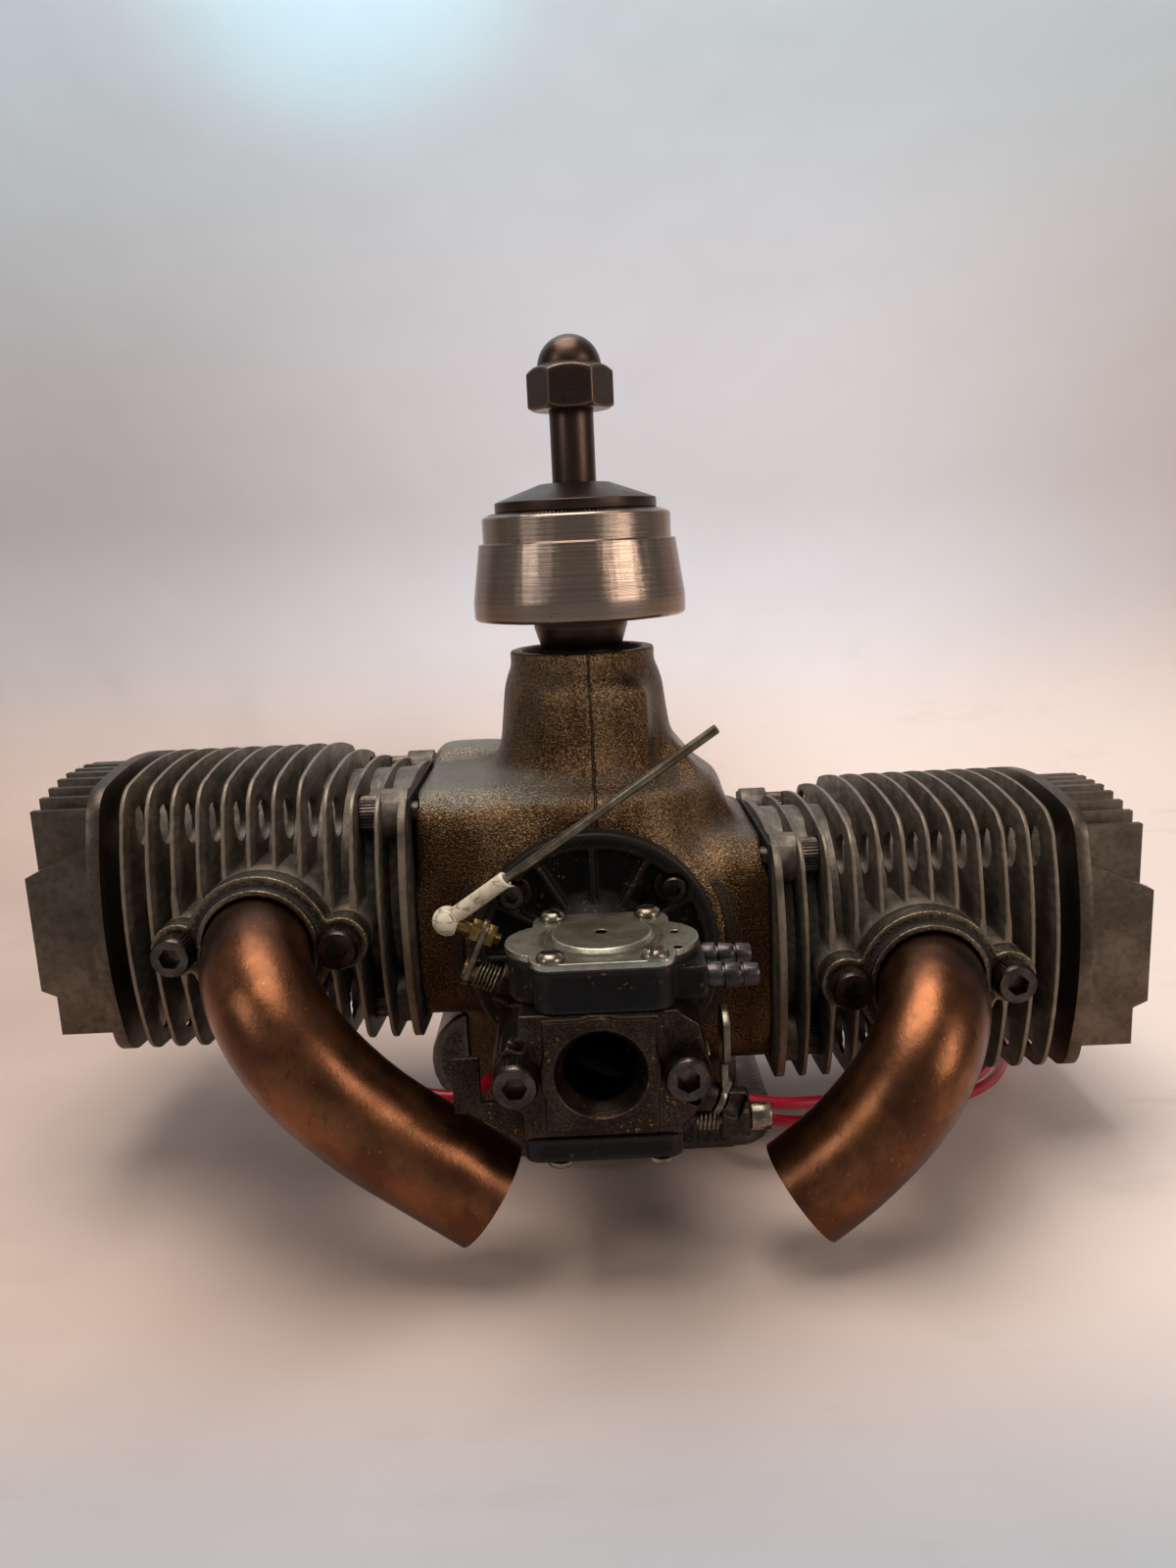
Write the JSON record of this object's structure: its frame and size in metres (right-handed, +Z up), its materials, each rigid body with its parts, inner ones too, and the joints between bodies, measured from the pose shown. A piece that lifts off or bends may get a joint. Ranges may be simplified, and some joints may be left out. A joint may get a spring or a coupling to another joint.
{
  "type": "flat twin aircraft engine",
  "caption": "Flat twin two-stroke model aircraft engine with finned cylinders, copper exhaust stubs, front carburettor and propeller hub.",
  "frame": {"origin": "on the crank axis, in the base plate's bottom face", "axes": "+Z up along the crank axis to the propeller nut, -Y towards the carburettor and exhaust outlets, +X along the lower cylinder"},
  "size_m": [0.2436, 0.1418, 0.186],
  "materials": {
    "case_casting": "grainy cast aluminium, stained brown",
    "cover_casting": "cast, matt",
    "fin_paint": "satin black, worn to metal at the edges",
    "head_metal": "satin machined casting",
    "dark_steel": "dark, worn",
    "hub_metal": "turned",
    "copper": "tarnished copper tube",
    "flange_casting": "cast, sandy",
    "black_screws": "black oxide",
    "black_plastic": "satin",
    "carb_casting": "die cast, oily",
    "plated_cover": "zinc plated",
    "bright_screws": "polished",
    "nipple_metal": "satin",
    "brass": "dull",
    "lever_steel": "plated, worn",
    "nylon": "aged nylon",
    "rubber": "matt",
    "gasket": "matt sheet",
    "red_silicone": "smooth silicone",
    "bearing_steel": "ground",
    "piston_metal": "turned",
    "reed_sheet": "glass-fibre sheet"
  },
  "bodies": {
    "engine": {"bearings": "bearing_steel", "cable_bracket": "cover_casting", "carb_body": "carb_casting", "carb_bolts": "black_screws", "carb_springs": "lever_steel", "conrods": "bearing_steel", "cover_plate": "plated_cover", "cover_screws": "bright_screws", "crankcase": "case_casting", "cylinder_bolts": "black_screws", "cylinder_gaskets": "gasket", "cylinder_left": "fin_paint", "cylinder_right": "fin_paint", "exhaust_bolts": "black_screws", "exhaust_flange_left": "flange_casting", "exhaust_flange_right": "flange_casting", "exhaust_pipe_left": "copper", "exhaust_pipe_right": "copper", "front_seal": "rubber", "fuel_nipples": "nipple_metal", "head_bolts": "black_screws", "head_left": "head_metal", "head_right": "head_metal", "intake_manifold": "black_plastic", "lead_left": "red_silicone", "lead_return": "red_silicone", "lead_right": "red_silicone", "manifold_screws": "black_screws", "metering_block": "black_plastic", "mixture_needles": "brass", "piston_rings": "bearing_steel", "pistons": "piston_metal", "plug_caps": "rubber", "port_gaskets": "gasket", "pump_cover": "black_plastic", "rear_cover": "cover_casting", "rear_cover_bolts": "black_screws", "reed_petals": "reed_sheet", "reed_plate": "reed_sheet", "spark_plugs": "bearing_steel", "wrist_pins": "bearing_steel"},
    "crank": {"crankshaft": "bearing_steel", "inner_races": "bearing_steel", "rod_eyes": "bearing_steel", "collar": "dark_steel", "hub": "hub_metal", "washer": "dark_steel", "prop_bolt": "dark_steel", "cap_nut": "dark_steel"},
    "throttle": {"throttle_shaft": "brass", "throttle_plate": "brass", "throttle_lever": "lever_steel", "stop_lever": "lever_steel", "ball_stud": "brass"},
    "linkage": {"ball_socket": "nylon", "pushrod": "lever_steel"},
    "choke": {"choke_shaft": "lever_steel", "choke_plate": "brass", "choke_lever": "lever_steel"},
    "idle": {"idle_screw": "bright_screws"}
  },
  "joints": [
    {"name": "crank_turn", "type": "hinge", "parent": "engine", "child": "crank", "pos_m": [0, 0, 0.1], "axis": [0, 0, 1], "continuous": true},
    {"name": "throttle_turn", "type": "hinge", "parent": "engine", "child": "throttle", "pos_m": [0, -0.0545, 0.0472], "axis": [0.9135, 0, -0.4067], "range_deg": [0, 75], "stiffness_Nm_per_rad": 0.02, "springref_deg": -34.38},
    {"name": "pushrod_swing", "type": "hinge", "parent": "throttle", "child": "linkage", "pos_m": [-0.02899, -0.0545, 0.06887], "axis": [0.9135, 0, -0.4067], "range_deg": [-20, 25]},
    {"name": "choke_turn", "type": "hinge", "parent": "engine", "child": "choke", "pos_m": [0, -0.0725, 0.0472], "axis": [0.9135, 0, -0.4067], "range_deg": [0, 80]},
    {"name": "idle_turn", "type": "hinge", "parent": "engine", "child": "idle", "pos_m": [0.03, -0.069, 0.0317], "axis": [1, 0, 0], "range_deg": [-360, 360]}
  ]
}
